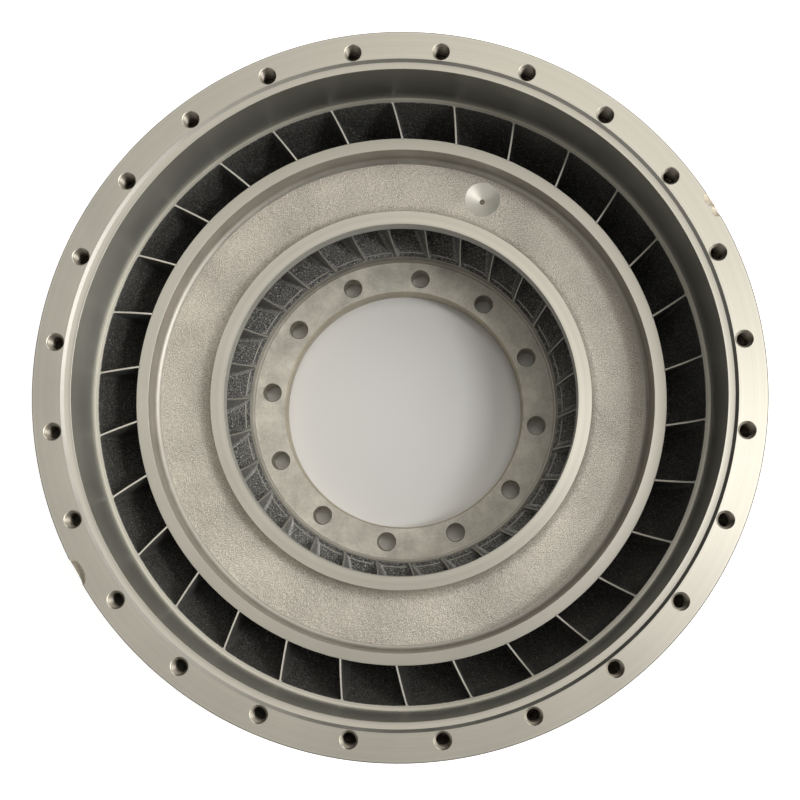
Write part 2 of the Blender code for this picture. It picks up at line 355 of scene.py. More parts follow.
def keep_flats(piece):
    """Wide flat faces keep their own normals beside small rounded edges."""
    weighted = piece.modifiers.new("flat_faces", "WEIGHTED_NORMAL")
    weighted.keep_sharp = True


# Materials


def add(tree, kind, inputs=None, **settings):
    """A shader node, with its settings and its inputs, which are values or sockets to link."""
    made = tree.nodes.new(kind)
    for name, value in settings.items():
        setattr(made, name, value)
    for name, value in (inputs or {}).items():
        if isinstance(value, bpy.types.NodeSocket):
            tree.links.new(value, made.inputs[name])
        else:
            made.inputs[name].default_value = value
    return made


def math_node(tree, operation, first, second=0.0):
    return add(tree, "ShaderNodeMath", {0: first, 1: second}, operation=operation).outputs[0]


def new_material(name):
    material = bpy.data.materials.new(name)
    material.use_nodes = True
    tree = material.node_tree
    return material, tree, tree.nodes["Principled BSDF"]


def shade(color, factor):
    return tuple(channel * factor for channel in color) + (1.0,)


def object_place(tree):
    return add(tree, "ShaderNodeTexCoord").outputs["Object"]


def noise(tree, vector, scale, detail=2.0, roughness=0.5):
    inputs = {"Vector": vector, "Scale": scale, "Detail": detail, "Roughness": roughness}
    return add(tree, "ShaderNodeTexNoise", inputs).outputs["Fac"]


def ring_noise(tree, along, scale, detail=3.0):
    """Noise that is the same all round the wheel's axis."""
    inputs = {"W": along, "Scale": scale, "Detail": detail}
    return add(tree, "ShaderNodeTexNoise", inputs, noise_dimensions="1D").outputs["Fac"]


def mixed_color(tree, factor, low, high, span=(0.3, 0.7)):
    """Colour that runs from low to high as the factor crosses the span."""
    stops = {"Value": factor, "From Min": span[0], "From Max": span[1]}
    eased = add(tree, "ShaderNodeMapRange", stops).outputs["Result"]
    mix = add(tree, "ShaderNodeMix", {0: eased, 6: low, 7: high}, data_type="RGBA")
    return mix.outputs[2]


def bump(tree, height, distance, strength=1.0, normal=None):
    inputs = {"Height": height, "Distance": distance, "Strength": strength}
    if normal is not None:
        inputs["Normal"] = normal
    return add(tree, "ShaderNodeBump", inputs).outputs["Normal"]


def blend(tree, first, share, second):
    """Sum of two patterns, the first at this share and the second at the rest."""
    weighted = math_node(tree, "MULTIPLY", first, share)
    return math_node(tree, "ADD", weighted, math_node(tree, "MULTIPLY", second, 1.0 - share))


def set_gloss(tree, shader, pattern, roughness, change):
    """Roughness that follows the pattern, from the first change to the second."""
    limits = {"Value": pattern, "To Min": roughness + change[0], "To Max": roughness + change[1]}
    gloss = add(tree, "ShaderNodeMapRange", limits)
    tree.links.new(gloss.outputs["Result"], shader.inputs["Roughness"])


def turned_shine(tree, shader, anisotropy):
    """Stretch the reflections across the tool marks, which run round the axis."""
    shader.inputs["Anisotropic"].default_value = anisotropy
    shader.inputs["Anisotropic Rotation"].default_value = QUARTER_TURN
    tangent = add(tree, "ShaderNodeTangent", direction_type="RADIAL", axis="Z").outputs["Tangent"]
    tree.links.new(tangent, shader.inputs["Tangent"])


def turned_metal(name, color, roughness, anisotropy, mark_depth):
    """Lathe-cut aluminium: fine tool marks all round the axis and faint stains."""
    material, tree, shader = new_material(name)
    place = object_place(tree)
    split = add(tree, "ShaderNodeSeparateXYZ", {0: place})
    flat = add(tree, "ShaderNodeCombineXYZ", {0: split.outputs[0], 1: split.outputs[1]}).outputs[0]
    radius = add(tree, "ShaderNodeVectorMath", {0: flat}, operation="LENGTH").outputs["Value"]
    along = math_node(tree, "MULTIPLY_ADD", split.outputs[2], MARK_RISE)
    tree.links.new(radius, along.node.inputs[2])
    fine = ring_noise(tree, along, FINE_MARKS)
    broad = ring_noise(tree, along, BROAD_MARKS)
    stain = noise(tree, place, TURNED_STAINS, 4.0, 0.6)
    tone = blend(tree, broad, MARK_SHARE, stain)
    low, high = (shade(color, factor) for factor in TURNED_SHADES)
    tree.links.new(mixed_color(tree, tone, low, high), shader.inputs["Base Color"])
    set_gloss(tree, shader, stain, roughness, TURNED_GLOSS)
    shader.inputs["Metallic"].default_value = 1.0
    turned_shine(tree, shader, anisotropy)
    coarse = bump(tree, broad, mark_depth * BROAD_MARK_GAIN)
    tree.links.new(bump(tree, fine, mark_depth, normal=coarse), shader.inputs["Normal"])
    return material


def cast_metal(name, color, roughness, metallic, grain, contrast, painted_light_gain=1.0, glints=0.0):
    """Sand-cast aluminium: grain of this scale and depth, lighter on its high spots.

    It can be lighter near the hub by the painted light gain, light painted where more light reaches,
    and have bright specks that are painted glints.
    """
    material, tree, shader = new_material(name)
    place = object_place(tree)
    grain_scale, grain_depth = grain
    sand = noise(tree, place, grain_scale, 2.0, 0.6)
    lumps = noise(tree, place, grain_scale / LUMP_SIZE, 2.0, 0.5)
    patches = noise(tree, place, CAST_PATCHES, 3.0, 0.6)
    tone = blend(tree, sand, SAND_SHARE, patches)
    low = shade(color, 1.0 - contrast)
    high = shade(color, 1.0 + contrast)
    mottled = mixed_color(tree, tone, low, high, TONE_SPAN)
    # Painted glints: bright specks in the colour stand in for sand grains catching the light
    if glints:
        painted_glint_spots = {"Value": sand, "From Min": GLINT_SPAN[0], "From Max": GLINT_SPAN[1], "To Max": glints}
        share = add(tree, "ShaderNodeMapRange", painted_glint_spots).outputs["Result"]
        colors = {0: share, 6: mottled, 7: GLINT_COLOR}
        mottled = add(tree, "ShaderNodeMix", colors, data_type="RGBA").outputs[2]
    # Painted light: the colour is raised towards the hub, where more light reaches the inlet and the
    # blades' sides
    radius = add(tree, "ShaderNodeVectorMath", {0: place}, operation="LENGTH").outputs["Value"]
    painted_light_reach = {"Value": radius, "From Min": PAINTED_LIGHT_SPAN[0], "From Max": PAINTED_LIGHT_SPAN[1]}
    painted_light_reach.update({"To Min": painted_light_gain, "To Max": 1.0})
    painted_gain = add(tree, "ShaderNodeMapRange", painted_light_reach).outputs["Result"]
    painted_lit_color = add(tree, "ShaderNodeVectorMath", {0: mottled, "Scale": painted_gain}, operation="SCALE")
    tree.links.new(painted_lit_color.outputs["Vector"], shader.inputs["Base Color"])
    shader.inputs["Roughness"].default_value = roughness
    shader.inputs["Metallic"].default_value = metallic
    first = bump(tree, lumps, grain_depth * LUMP_GAIN)
    tree.links.new(bump(tree, sand, grain_depth, normal=first), shader.inputs["Normal"])
    return material


def worn_metal(name, color, roughness, metallic, anisotropy, contrast):
    """Machined face gone dull: stains, small blotches and a faint turned grain."""
    material, tree, shader = new_material(name)
    place = object_place(tree)
    stains = noise(tree, place, WORN_STAINS, 5.0, 0.62)
    blotches = noise(tree, place, WORN_BLOTCHES, 3.0, 0.6)
    tone = blend(tree, stains, STAIN_SHARE, blotches)
    low = shade(color, 1.0 - contrast)
    high = shade(color, 1.0 + contrast)
    tree.links.new(mixed_color(tree, tone, low, high, TONE_SPAN), shader.inputs["Base Color"])
    set_gloss(tree, shader, stains, roughness, WORN_GLOSS)
    shader.inputs["Metallic"].default_value = metallic
    turned_shine(tree, shader, anisotropy)
    tree.links.new(bump(tree, blotches, BLOTCH_DEPTH), shader.inputs["Normal"])
    return material


def floor_material():
    """Pale cloth, which glows a little beyond the wheel as an overexposed backdrop does."""
    material, tree, shader = new_material("pale_floor")
    place = object_place(tree)
    weave = noise(tree, place, CLOTH_WEAVE, 3.0, 0.5)
    tree.links.new(mixed_color(tree, weave, *FLOOR_SHADES), shader.inputs["Base Color"])
    shader.inputs["Roughness"].default_value = FLOOR_ROUGHNESS
    reach = add(tree, "ShaderNodeVectorMath", {0: place}, operation="LENGTH").outputs["Value"]
    limits = {"Value": reach, "From Min": FLOOR_GLOW_SPAN[0], "From Max": FLOOR_GLOW_SPAN[1]}
    limits["To Max"] = FLOOR_GLOW
    glow = add(tree, "ShaderNodeMapRange", limits)
    shader.inputs["Emission Color"].default_value = (1.0, 1.0, 1.0, 1.0)
    tree.links.new(glow.outputs["Result"], shader.inputs["Emission Strength"])
    return material


MACHINED = (0.555, 0.54, 0.485)

# Turned: colour, roughness, stretch of the reflections, depth of the tool marks
flange_metal = turned_metal("turned_flange", MACHINED, 0.48, 0.45, FACE_MARKS)
land_metal = turned_metal("turned_land", MACHINED, 0.48, 0.45, FACE_MARKS)
rim_face_metal = turned_metal("turned_bowl_rim", (0.66, 0.64, 0.575), 0.48, 0.45, FACE_MARKS)
# Painted highlight: the lighter ring on the bowl's rim
rim_highlight_metal = turned_metal("painted_highlight_line", (0.80, 0.78, 0.71), 0.45, 0.30, FACE_MARKS)
# Painted highlight: a lighter finish on the blades' leading edges and the bowl's casting edge
edge_highlight_metal = turned_metal("painted_highlight_edge", (0.46, 0.45, 0.42), 0.50, 0.0, FACE_MARKS)
cylinder_metal = turned_metal("turned_cylinder", (0.29, 0.292, 0.272), 0.37, 0.85, CYLINDER_MARKS)
drilled_metal = turned_metal("drilled_hole", (0.34, 0.31, 0.27), 0.35, 0.0, HOLE_MARKS)
reamed_metal = turned_metal("reamed_hole", (0.62, 0.59, 0.52), 0.45, 0.0, HOLE_MARKS)
mouth_metal = turned_metal("hole_mouth", (0.60, 0.58, 0.52), 0.30, 0.0, HOLE_MARKS)
thread_metal = turned_metal("cut_thread", (0.26, 0.24, 0.205), 0.40, 0.0, HOLE_MARKS)
# Painted shade: the dark chamfer at the rim's upper edge stands in for the edge in shade
rim_shade_metal = turned_metal("painted_shade_rim", (0.12, 0.115, 0.105), 0.50, 0.0, HOLE_MARKS)

# Worn: colour, roughness, metallic share, stretch of the reflections, contrast
bore_metal = worn_metal("worn_bore", (0.40, 0.395, 0.37), 0.42, 0.60, 0.50, 0.08)
hub_bore_metal = worn_metal("worn_hub_bore", (0.42, 0.38, 0.30), 0.45, 0.40, 0.50, 0.15)
hub_metal = worn_metal("worn_hub", (0.53, 0.51, 0.45), 0.50, 0.20, 0.60, 0.24)
blade_end_metal = worn_metal("turned_blade_end", (0.53, 0.515, 0.465), 0.60, 0.0, 0.0, 0.12)
bevel_metal = worn_metal("worn_bevel", (0.35, 0.345, 0.325), 0.38, 1.0, 0.20, 0.08)
dimple_metal = worn_metal("spotted_dimple", (0.70, 0.69, 0.64), 0.45, 0.60, 0.0, 0.05)
step_metal = worn_metal("worn_step", (0.375, 0.36, 0.33), 0.45, 1.0, 0.55, 0.10)

# Cast: colour, roughness, metallic share, grain's scale and depth, contrast; then painted light near
# the hub and painted glints
blasted_metal = cast_metal("blasted_casting", (0.55, 0.52, 0.467), 0.60, 0.55, (1900.0, 0.00030), 0.52)
# Painted shade: the casting inside the bowl and under the core, and the blades, darker than the
# outside casting as the shade of the deep passages
shade_darkened_cast_metal = cast_metal(
    "shade_darkened_casting", (0.105, 0.105, 0.10), 0.50, 0.50, (1200.0, 0.00060), 0.70, 1.30, 0.42
)
shade_darkened_blade_metal = cast_metal(
    "cast_blade", (0.12, 0.12, 0.115), 0.50, 0.40, (1200.0, 0.00025), 0.35, 2.0, 0.20
)
outside_metal = cast_metal("outside_casting", (0.52, 0.50, 0.47), 0.62, 0.80, (800.0, 0.00020), 0.18)
broken_metal = cast_metal("broken_edge", (0.46, 0.42, 0.35), 0.55, 0.80, (1200.0, 0.00010), 0.15)


# Pieces


def finish_piece(piece, slot, *nodes):
    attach(piece, "root")
    if nodes:
        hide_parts(*nodes)


def hole_angles(first_deg, count):
    return [first_deg + 360 / count * index for index in range(count)]


def chip_balls(bm, material_index):
    """Uneven flattened balls on the rim's upper edge."""
    for angle_deg, half_length, reach, depth in RIM_CHIPS:
        ball = bmesh.ops.create_icosphere(bm, subdivisions=4, radius=1.0)
        verts = ball["verts"]
        for vert in verts:
            wave = math.sin(9 * vert.co.x + 5 * vert.co.y) * math.sin(7 * vert.co.y - 4 * vert.co.z)
            vert.co *= 1 + CHIP_ROUGHNESS * wave
        bmesh.ops.scale(bm, verts=verts, vec=(reach, half_length, depth))
        bmesh.ops.rotate(bm, verts=verts, matrix=Matrix.Rotation(math.radians(angle_deg), 3, "Z"))
        bmesh.ops.translate(bm, verts=verts, vec=polar(RIM_RADIUS, angle_deg, TOP))
        for vert in verts:
            for face in vert.link_faces:
                face.material_index = material_index


def make_flange():
    """Flange and cylinder, with chamfered holes, the bevelled step and the chipped rim."""
    ledge = TOP - LEDGE_DEPTH
    underside = TOP - FLANGE_THICKNESS
    rim_center = RIM_RADIUS - RIM_BEVEL
    bevel = [(FACE_INNER_RADIUS, TOP)]
    step = [
        (LEDGE_OUTER_RADIUS, ledge + LEDGE_RISE),
        (LEDGE_FLAT_RADIUS, ledge),
        (CYLINDER_RADIUS + EDGE, ledge),
    ]
    cylinder = [(CYLINDER_RADIUS, ledge - EDGE), (CYLINDER_RADIUS, OUTLET)]
    outside = [(WALL_OUTER_RADIUS, OUTLET)]
    fillet_center = (WALL_OUTER_RADIUS + FLANGE_ROOT_FILLET, underside - FLANGE_ROOT_FILLET)
    outside += arc(fillet_center, (FLANGE_ROOT_FILLET, FLANGE_ROOT_FILLET), 180, 90, FILLET_STEPS)
    back = [(RIM_RADIUS - RIM_BEVEL, underside)]
    rim_arc = (RIM_BEVEL, RIM_BEVEL)
    rim = arc((rim_center, underside + RIM_BEVEL), rim_arc, RIM_START_DEG, 0, RIM_ARC_STEPS)
    # The chamfer at the rim's top takes a dark finish, painted shade of the edge
    chamfer = [(RIM_RADIUS, TOP - RIM_CHAMFER)]
    face = [(RIM_RADIUS - RIM_CHAMFER, TOP)]
    stretches = [
        (bevel_metal, bevel),
        (flange_metal, step),
        (cylinder_metal, cylinder),
        (outside_metal, outside),
        (flange_metal, back + rim),
        (rim_shade_metal, chamfer),
        (flange_metal, face),
    ]
    finishes = [flange_metal, cylinder_metal, outside_metal, rim_shade_metal, bevel_metal]
    piece = mesh_piece("wheel_flange", turned(stretches, finishes, RING_STEPS), finishes)
    cutters = bmesh.new()
    mouth = HOLE_MOUTH_RADIUS - THREAD_MAJOR_RADIUS
    point = THREAD_MINOR_RADIUS / math.tan(math.radians(DRILL_POINT_DEG / 2))
    drill = [
        (DRILL_TIP_RADIUS, -HOLE_DEPTH - point),
        (THREAD_MINOR_RADIUS, -HOLE_DEPTH),
        (THREAD_MINOR_RADIUS, -THREAD_DEPTH),
        (THREAD_MAJOR_RADIUS, -THREAD_DEPTH + mouth),
        (THREAD_MAJOR_RADIUS, -mouth),
        (HOLE_MOUTH_RADIUS + mouth, mouth),
    ]
    for angle_deg in hole_angles(HOLE_FIRST_DEG, HOLE_COUNT):
        spindle(cutters, drill, HOLE_SIDES, polar(HOLE_CIRCLE, angle_deg, TOP), 2)
    chip_balls(cutters, 1)
    cut(piece, cutters, [drilled_metal, broken_metal, mouth_metal], SHARP_DEG)
    keep_flats(piece)
    finish_piece(piece, "machined_flange", "mounting_flange")


def thread(bm, place):
    """Ridge of an inside thread, a closed strip wound down the hole."""
    start = -(HOLE_MOUTH_RADIUS - THREAD_MINOR_RADIUS)
    turns = (THREAD_DEPTH + start) / THREAD_PITCH
    count = int(turns * THREAD_STEPS)
    half_base = THREAD_BASE_SHARE * THREAD_PITCH
    half_crest = THREAD_CREST_SHARE * THREAD_PITCH
    root = THREAD_MAJOR_RADIUS + THREAD_SINK
    section = (
        (root, -half_base),
        (THREAD_MINOR_RADIUS, -half_crest),
        (THREAD_MINOR_RADIUS, half_crest),
        (root, half_base),
    )
    rows = []
    for index in range(count + 1):
        angle_deg = 360 * index / THREAD_STEPS
        drop = start - THREAD_PITCH * index / THREAD_STEPS
        points = [place + polar(radius, angle_deg, drop + height) for radius, height in section]
        rows.append([bm.verts.new(point) for point in points])
    for near, far in zip(rows, rows[1:]):
        for index in range(4):
            after = (index + 1) % 4
            bm.faces.new((near[index], near[after], far[after], far[index]))
    bm.faces.new(list(reversed(rows[0])))
    bm.faces.new(rows[-1])


def make_threads():
    bm = bmesh.new()
    for angle_deg in hole_angles(HOLE_FIRST_DEG, HOLE_COUNT):
        thread(bm, polar(HOLE_CIRCLE, angle_deg, TOP))
    bmesh.ops.recalc_face_normals(bm, faces=bm.faces)
    finish_piece(mesh_piece("flange_threads", bm, [thread_metal], THREAD_SHARP_DEG), "machined_flange")


def make_bowl():
    """Bowl: turned rim with a painted highlight line, turned lip, cast inside darkened as painted
    shade, lighter cast outside.
    """
    center = (INLET_RADIUS, OUTLET)
    inner_radii = (OUTLET_RADIUS - INLET_RADIUS, OUTLET - BOWL_FLOOR)
    outer_radii = (WALL_OUTER_RADIUS - INLET_RADIUS, OUTLET - BOWL_FLOOR + BOWL_WALL)
    rim_outer = [(WALL_OUTER_RADIUS, OUTLET)]
    rim_highlight = [(RIM_HIGHLIGHT_RADIUS + RIM_HIGHLIGHT_WIDTH / 2, OUTLET)]
    rim_inner = [(RIM_HIGHLIGHT_RADIUS - RIM_HIGHLIGHT_WIDTH / 2, OUTLET)]
    inside = [(OUTLET_RADIUS + OUTLET_BEVEL, OUTLET)]
    inside += arc(center, inner_radii, BOWL_TOP_DEG, BOWL_INSIDE_END_DEG, BOWL_STEPS)
    # The casting edge takes the lighter edge finish, a painted highlight
    casting_edge = [(INLET_RADIUS, BOWL_FLOOR), (INLET_RADIUS - LIP_CUT, BOWL_FLOOR - LIP_CUT)]
    band = [(INLET_RADIUS - 2 * LIP_CUT, BOWL_FLOOR - LIP_CUT)]
    seat = HUB_TOP - HUB_SEAT_STEP
    lip = [
        (LIP_RADIUS + EDGE, BOWL_FLOOR - LIP_CUT),
        (LIP_RADIUS, BOWL_FLOOR - LIP_CUT - EDGE),
        (LIP_STEP_RADIUS, LIP_STEP_HEIGHT),
        (HUB_FACE_RADIUS + EDGE, LIP_STEP_HEIGHT),
        (HUB_FACE_RADIUS, LIP_STEP_HEIGHT - EDGE),
        (HUB_FACE_RADIUS, seat),
        (HUB_OUTER_RADIUS, seat),
    ]
    bottom = OUTLET - outer_radii[1]
    fillet_center = (HUB_OUTER_RADIUS + HUB_FILLET, bottom - HUB_FILLET)
    outside = arc(fillet_center, (HUB_FILLET, HUB_FILLET), 180, 90, FILLET_STEPS)
    outside += arc(center, outer_radii, BOWL_OUTSIDE_START_DEG, BOWL_TOP_DEG, BOWL_STEPS)
    stretches = [
        (rim_face_metal, rim_outer),
        (rim_highlight_metal, rim_highlight),
        (rim_face_metal, rim_inner),
        (shade_darkened_cast_metal, inside),
        (edge_highlight_metal, casting_edge),
        (shade_darkened_cast_metal, band),
        (step_metal, lip),
        (outside_metal, outside),
    ]
    finishes = [rim_face_metal, shade_darkened_cast_metal, outside_metal, edge_highlight_metal, step_metal, rim_highlight_metal]
    piece = mesh_piece("wheel_bowl", turned(stretches, finishes, RING_STEPS), finishes, SHARP_DEG)
    keep_flats(piece)
    finish_piece(piece, "cast_bowl", "bowl")


def make_hub():
    """Hub ring with bevelled bore and holes."""
    outer = [
        (HUB_FACE_RADIUS, HUB_TOP),
        (HUB_FACE_RADIUS, HUB_TOP - HUB_SEAT_STEP),
        (HUB_OUTER_RADIUS, HUB_TOP - HUB_SEAT_STEP),
        (HUB_OUTER_RADIUS, BORE_BEVEL),
        (HUB_OUTER_RADIUS - BORE_BEVEL, 0.0),
    ]
    bore = [
        (BORE_RADIUS + BORE_BEVEL, 0.0),
        (BORE_RADIUS, BORE_BEVEL),
        (BORE_RADIUS, HUB_TOP - BORE_BEVEL),
    ]
    face = [(BORE_RADIUS + BORE_BEVEL, HUB_TOP)]
    stretches = [(hub_metal, outer), (hub_bore_metal, bore), (hub_metal, face)]
    finishes = [hub_metal, hub_bore_metal]
    piece = mesh_piece("wheel_hub", turned(stretches, finishes, HUB_STEPS), finishes)
    cutters = bmesh.new()
    wide = HUB_HOLE_RADIUS + 2 * HUB_HOLE_BEVEL
    drill = [
        (wide, -HUB_HOLE_BEVEL),
        (HUB_HOLE_RADIUS, HUB_HOLE_BEVEL),
        (HUB_HOLE_RADIUS, HUB_TOP - HUB_HOLE_BEVEL),
        (wide, HUB_TOP + HUB_HOLE_BEVEL),
    ]
    for angle_deg in hole_angles(HUB_HOLE_FIRST_DEG, HUB_HOLE_COUNT):
        spindle(cutters, drill, HOLE_SIDES, polar(HUB_HOLE_CIRCLE, angle_deg, 0.0), 1)
    cut(piece, cutters, [reamed_metal, mouth_metal], SHARP_DEG)
    keep_flats(piece)
    finish_piece(piece, "machined_hub", "hub_flange")


def core_profile():
    """Outline of the core ring: lands and bore turned, recess blasted, underside darkened as painted
    shade.
    """
    under = [(CORE_OUTER_RADIUS, OUTLET - EDGE)]
    arc_center = (CORE_OUTER_RADIUS - CORE_ARC, CORE_BOTTOM + CORE_ARC)
    under += arc(arc_center, (CORE_ARC, CORE_ARC), 0, -90, CORE_ARC_STEPS)
    nose_center = (CORE_INNER_RADIUS + CORE_NOSE[0], CORE_BOTTOM + CORE_NOSE[1])
    under += arc(nose_center, CORE_NOSE, -90, CORE_NOSE_END_DEG, RECESS_STEPS)
    bore = [
        (CORE_INNER_RADIUS, CORE_BOTTOM + CORE_NOSE[1]),
        (CORE_INNER_RADIUS, INNER_LAND_HEIGHT - EDGE),
    ]
    inner_land = [
        (CORE_INNER_RADIUS + EDGE, INNER_LAND_HEIGHT),
        (INNER_LAND_OUTER_RADIUS - EDGE, INNER_LAND_HEIGHT),
    ]
    recess = [(INNER_LAND_OUTER_RADIUS, INNER_LAND_HEIGHT - EDGE)]
    inner_center = (INNER_LAND_OUTER_RADIUS + INNER_FILLET, RECESS_FLOOR + INNER_FILLET)
    recess += arc(inner_center, (INNER_FILLET, INNER_FILLET), 180, 270, RECESS_STEPS)
    outer_center = (OUTER_LAND_INNER_RADIUS - OUTER_FILLET, RECESS_FLOOR + OUTER_FILLET)
    wall = arc(outer_center, (OUTER_FILLET, OUTER_FILLET), 270, 360, RECESS_STEPS - 1)
    land = [
        (OUTER_LAND_INNER_RADIUS, OUTLET - EDGE),
        (OUTER_LAND_INNER_RADIUS + EDGE, OUTLET),
        (CORE_OUTER_RADIUS - EDGE, OUTLET),
    ]
    return [
        (shade_darkened_cast_metal, under),
        (bore_metal, bore),
        (land_metal, inner_land),
        (blasted_metal, recess),
        (step_metal, wall),
        (land_metal, land),
    ]


def make_core():
    finishes = [land_metal, shade_darkened_cast_metal, blasted_metal, step_metal, bore_metal]
    piece = mesh_piece("wheel_core", turned(core_profile(), finishes, RING_STEPS), finishes)
    cutters = bmesh.new()
    slope = DIMPLE_DEPTH / DIMPLE_RADIUS
    drill = [
        (PIP_RADIUS * PIP_FOOT, -DIMPLE_DEPTH - PIP_DEPTH),
        (PIP_RADIUS * PIP_SHOULDER, -DIMPLE_DEPTH + slope * PIP_RADIUS),
        (PIP_RADIUS, -DIMPLE_DEPTH + slope * PIP_RADIUS * PIP_GROOVE),
        ((1 + DIMPLE_OVERCUT) * DIMPLE_RADIUS, DIMPLE_OVERCUT * DIMPLE_DEPTH),
    ]
    spindle(cutters, drill, DIMPLE_SIDES, polar(DIMPLE_CIRCLE, DIMPLE_DEG, RECESS_FLOOR), 1)
    cut(piece, cutters, [drilled_metal, dimple_metal], SHARP_DEG)
    keep_flats(piece)
    finish_piece(piece, "cast_core_ring", "core_ring")


def shell_point(row):
    """Where the blade meets the bowl at a row from 0, its leading edge, to 1."""
    lead = BLADE_LEAD_ROW
    if row < lead:
        return LEADING_SHELL_RADIUS + (INLET_RADIUS - LEADING_SHELL_RADIUS) * row / lead, BOWL_FLOOR
    angle = math.radians(-90 + 90 * (row - lead) / (1 - lead))
    radius = INLET_RADIUS + (OUTLET_RADIUS - INLET_RADIUS) * math.cos(angle)
    return radius, OUTLET + (OUTLET - BOWL_FLOOR) * math.sin(angle)


def core_point(row):
    """Where the blade meets the core ring, at the same rows as shell_point."""
    flat_end = CORE_OUTER_RADIUS - CORE_ARC
    start = CORE_BOTTOM + CORE_ARC
    if row < CORE_FLAT_SHARE:
        along = (flat_end - LEADING_CORE_RADIUS) * row / CORE_FLAT_SHARE
        return LEADING_CORE_RADIUS + along, CORE_BOTTOM
    if row < CORE_FLAT_SHARE + CORE_ARC_SHARE:
        angle = math.radians(-90 + 90 * (row - CORE_FLAT_SHARE) / CORE_ARC_SHARE)
        return flat_end + CORE_ARC * math.cos(angle), start + CORE_ARC * math.sin(angle)
    rise = (row - CORE_FLAT_SHARE - CORE_ARC_SHARE) / (1 - CORE_FLAT_SHARE - CORE_ARC_SHARE)
    return CORE_OUTER_RADIUS, start + (OUTLET - start) * rise


def sweep_deg(radius):
    """Angle by which the blade lags its tip at this radius, and its slope in degrees a metre."""
    span = OUTLET_RADIUS - LIP_RADIUS
    inward = (OUTLET_RADIUS - radius) / span
    entry_part = BLADE_SWEEP_DEG - BLADE_EXIT_SWEEP_DEG
    lag = BLADE_EXIT_SWEEP_DEG * inward + entry_part * inward ** BLADE_SWEEP_POWER
    slope = BLADE_EXIT_SWEEP_DEG + entry_part * BLADE_SWEEP_POWER * inward ** (BLADE_SWEEP_POWER - 1)
    return lag, slope / span


def blade_stations(length):
    """Distances from the bowl across the blade, close together in the fillets at both ends."""
    stations = [-BLADE_ROOT_SINK] + [share * BLADE_FILLET for share in FILLET_STATIONS]
    foot = [TURNED_FOOT - FOOT_EDGE, TURNED_FOOT]
    middle = [TURNED_FOOT + (length - 2 * TURNED_FOOT) * share for share in MIDDLE_STATIONS]
    return stations + foot + middle + [length - station for station in reversed(stations)]


def fillet_width(distance, size):
    """How much a fillet of this size widens one side of the blade at this distance from its end."""
    inside = size - min(max(distance, 0.0), size)
    return size - math.sqrt(size ** 2 - inside ** 2)


def fillet_sizes(row):
    """Fillets at the bowl and at the core, which run out at the blade's turned ends."""
    exit_part = max(0.0, (row - FILLET_EXIT_ROW) / (1 - FILLET_EXIT_ROW))
    sizes = []
    for size, (full_row, start), loss in (
        (BLADE_FILLET, BLADE_FILLET_ENTRY, BLADE_FILLET_EXIT_LOSS),
        (CORE_FILLET, CORE_FILLET_ENTRY, CORE_FILLET_EXIT_LOSS),
    ):
        entry = min(1.0, start + row / full_row)
        sizes.append(size * entry * (1 - loss * exit_part))
    return sizes


def edge_rounding(row, station):
    """Share of the blade's thickness near its leading edge, rounded but for the turned foot."""
    if row >= BLADE_NOSE_ROW or station < TURNED_FOOT:
        return 1.0
    return max(BLADE_NOSE_LEAST, math.sqrt(1 - (1 - row / BLADE_NOSE_ROW) ** 2))


def blade_section(row):
    """One row of the blade as two lists of points, one a side, from the bowl to the core."""
    shell = Vector(shell_point(row) + (0.0,))
    core = Vector(core_point(row) + (0.0,))
    length = (core - shell).length
    swell = math.sin(math.pi * row)
    thickness = BLADE_EDGE_THICKNESS + (BLADE_THICKNESS - BLADE_EDGE_THICKNESS) * swell
    at_bowl, at_core = fillet_sizes(row)
    sides = ([], [])
    for station in blade_stations(length):
        share = station / length
        radius, height, _ = shell.lerp(core, share)
        lag, slope = sweep_deg(radius)
        lean = LEADING_LEAN_DEG * max(share, 0.0) * (1 - row) ** 2
        middle_deg = BLADE_TIP_DEG - lag - lean
        stretch = math.hypot(1.0, radius * math.radians(slope))
        fillet = fillet_width(station, at_bowl) + fillet_width(length - station, at_core)
        half = (thickness / 2 + fillet) * edge_rounding(row, station) * stretch
        half_deg = math.degrees(half / radius)
        for side, sign in zip(sides, (-1, 1)):
            side.append(polar(radius, middle_deg + sign * half_deg, height))
    return sides


def blade_rows():
    """Row places, closer together at the rounded leading edge."""
    rest = 1 - BLADE_NOSE_ROW
    rows = [BLADE_NOSE_ROW + rest * index / BLADE_ROWS for index in range(BLADE_ROWS + 1)]
    return [share * BLADE_NOSE_ROW for share in NOSE_SHARES] + rows


BLADE_SIDE, BLADE_END, BLADE_NOSE = range(3)


def blade_mesh():
    """One blade: its sides, its turned end at the outlet and its nose at the inlet, lighter as a
    painted highlight.
    """
    bm = bmesh.new()
    loops = []
    for row in blade_rows():
        first, second = blade_section(row)
        loops.append([bm.verts.new(point) for point in first + list(reversed(second))])
    for row, (near, far) in enumerate(zip(loops, loops[1:])):
        for index in range(len(near)):
            after = (index + 1) % len(near)
            face = bm.faces.new((near[index], near[after], far[after], far[index]))
            face.material_index = BLADE_NOSE if row < NOSE_BANDS else BLADE_SIDE
    half = len(loops[0]) // 2
    for loop, finish_index in ((loops[0], BLADE_NOSE), (loops[-1], BLADE_END)):
        for index in range(half - 1):
            opposite = len(loop) - 1 - index
            face = bm.faces.new((loop[index], loop[index + 1], loop[opposite - 1], loop[opposite]))
            face.material_index = finish_index
    bmesh.ops.recalc_face_normals(bm, faces=bm.faces)
    return bm


